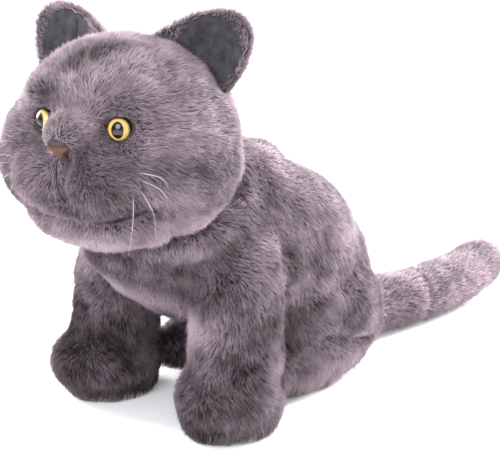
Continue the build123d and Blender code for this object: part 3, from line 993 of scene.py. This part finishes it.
def shape_nose(mesh):
    """The nose made wider and flatter, with two nostrils and a groove below its middle."""
    places, normals = vertex_arrays(mesh)
    middle = np.array(head_point(NOSE_TIP))
    across = np.array(HEAD_TURNED @ Vector((1, 0, 0)))
    sideways = (places - middle) @ across
    height = places[:, 2] - middle[2]
    places += across * (sideways * NOSE_WIDENED)[:, None]
    places[:, 2] -= height * NOSE_FLATTENED
    for side in (-1, 1):
        reach = np.hypot(sideways - side * NOSTRIL_SIDE, height - NOSTRIL_DROP)
        places -= normals * (NOSTRIL_DEPTH * np.exp(-((reach / NOSTRIL_RADIUS) ** 2)))[:, None]
    groove = np.exp(-((sideways / GROOVE_WIDTH) ** 2)) * fade(-height, 0.004)
    places -= normals * (GROOVE_DEPTH * groove)[:, None]
    move_vertices(mesh, places)


nose = skin_from("nose_button", ["nose"], NOSE_VOXEL, 0.0, 4)
shape_nose(nose.data)
dress(nose, nose_plastic)
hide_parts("nose")
neck = skin_from("neck_stuffing", ["neck_plug"], INNER_VOXEL, 0.0006, 3)
dress(neck, filling)
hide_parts("neck_plug")
pouch = skin_from("pellet_bag", ["pellet_pouch"], INNER_VOXEL, 0.0003, 2)
dress(pouch, pouch_cloth)
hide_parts("pellet_pouch")

# ---- What rides what ----
for obj in [body_skin, pouch, *body_fur]:
    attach(obj, "torso")
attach(neck, "neck")
for obj in [head_skin, nose, *whisker_sets, *head_fur]:
    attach(obj, "head")
for side_name in SIDES:
    back, lining, pile = ears[side_name]
    for obj in [back, lining, *pile]:
        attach(obj, f"ear_{side_name}")
for obj in [tail_skin, *tail_fur]:
    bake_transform(obj)

# ---- Studio ----
CAMERA_AZIMUTH = math.radians(42.0)
CAMERA_PITCH = math.radians(15.0)
CAMERA_DISTANCE = 1.25
CAMERA_TARGET = Vector((0.0193, -0.0670, 0.1334))
CAMERA_LENS = 116.2
FLOOR_HALF = 8.0
FLOOR_DROP = 0.0002
FLOOR_GLOW = 0.2

view_side = Vector((math.cos(CAMERA_AZIMUTH), math.sin(CAMERA_AZIMUTH), 0))
away = Vector(
    (
        -math.sin(CAMERA_AZIMUTH) * math.cos(CAMERA_PITCH),
        math.cos(CAMERA_AZIMUTH) * math.cos(CAMERA_PITCH),
        -math.sin(CAMERA_PITCH),
    )
)
level_away = Vector((away.x, away.y, 0)).normalized()
camera_data = bpy.data.cameras.new("camera")
camera_data.lens = CAMERA_LENS
camera = add_object("camera", camera_data)
camera.location = CAMERA_TARGET - away * CAMERA_DISTANCE
camera.rotation_euler = away.to_track_quat("-Z", "Y").to_euler()
bpy.context.scene.camera = camera

floor_material, floor_tree, floor_output = new_material("studio floor")
floor_shader = principled(floor_tree, 0.9)
floor_shader.inputs["Base Color"].default_value = (0.98, 0.98, 0.98, 1)
floor_shader.inputs["Emission Color"].default_value = (1, 1, 1, 1)
floor_shader.inputs["Emission Strength"].default_value = FLOOR_GLOW
floor_tree.links.new(floor_shader.outputs["BSDF"], floor_output.inputs["Surface"])
floor_mesh = bpy.data.meshes.new("floor")
floor_corners = [(x * FLOOR_HALF, y * FLOOR_HALF, 0) for x, y in ((-1, -1), (1, -1), (1, 1), (-1, 1))]
floor_mesh.from_pydata(floor_corners, [], [(0, 1, 2, 3)])
floor = add_object("floor", floor_mesh)
floor.data.materials.append(floor_material)
floor.location.z = -FLOOR_DROP


def soft_light(name, across, back, up, size, power, colour=(1, 1, 1)):
    """A square soft light, placed from the camera's view: across to the right, back away from it, up."""
    data = bpy.data.lights.new(name, "AREA")
    data.size = size
    data.energy = power
    data.color = colour
    light = add_object(name, data)
    light.location = CAMERA_TARGET + view_side * across + level_away * back + Vector((0, 0, up))
    aim = CAMERA_TARGET - light.location
    light.rotation_euler = aim.to_track_quat("-Z", "Y").to_euler()
    return light


soft_light("top light", 0.45, 0.2, 1.3, 0.8, 26.0)
soft_light("front light", -0.42, -0.95, 0.50, 0.60, 9.0, (0.93, 0.93, 1.0))
soft_light("rim right", 0.95, 0.60, 0.30, 0.5, 24.0, (0.98, 0.95, 1.0))
soft_light("rim left", -0.95, 0.60, 0.35, 0.5, 20.0, (0.98, 0.95, 1.0))

world = bpy.data.worlds.new("studio")
world.use_nodes = True
sky = world.node_tree
sky_place = sky.nodes.new("ShaderNodeTexCoord")
sky_parts = sky.nodes.new("ShaderNodeSeparateXYZ")
sky.links.new(sky_place.outputs["Generated"], sky_parts.inputs["Vector"])
sky_tone = ramp(sky, sky_parts.outputs["Z"], [(0.10, (0.22, 0.22, 0.24)), (0.55, (1.0, 1.0, 1.0))])
sky.links.new(sky_tone, sky.nodes["Background"].inputs["Color"])
sky.nodes["Background"].inputs["Strength"].default_value = 1.0
bpy.context.scene.world = world
bpy.context.scene.view_settings.view_transform = "Standard"
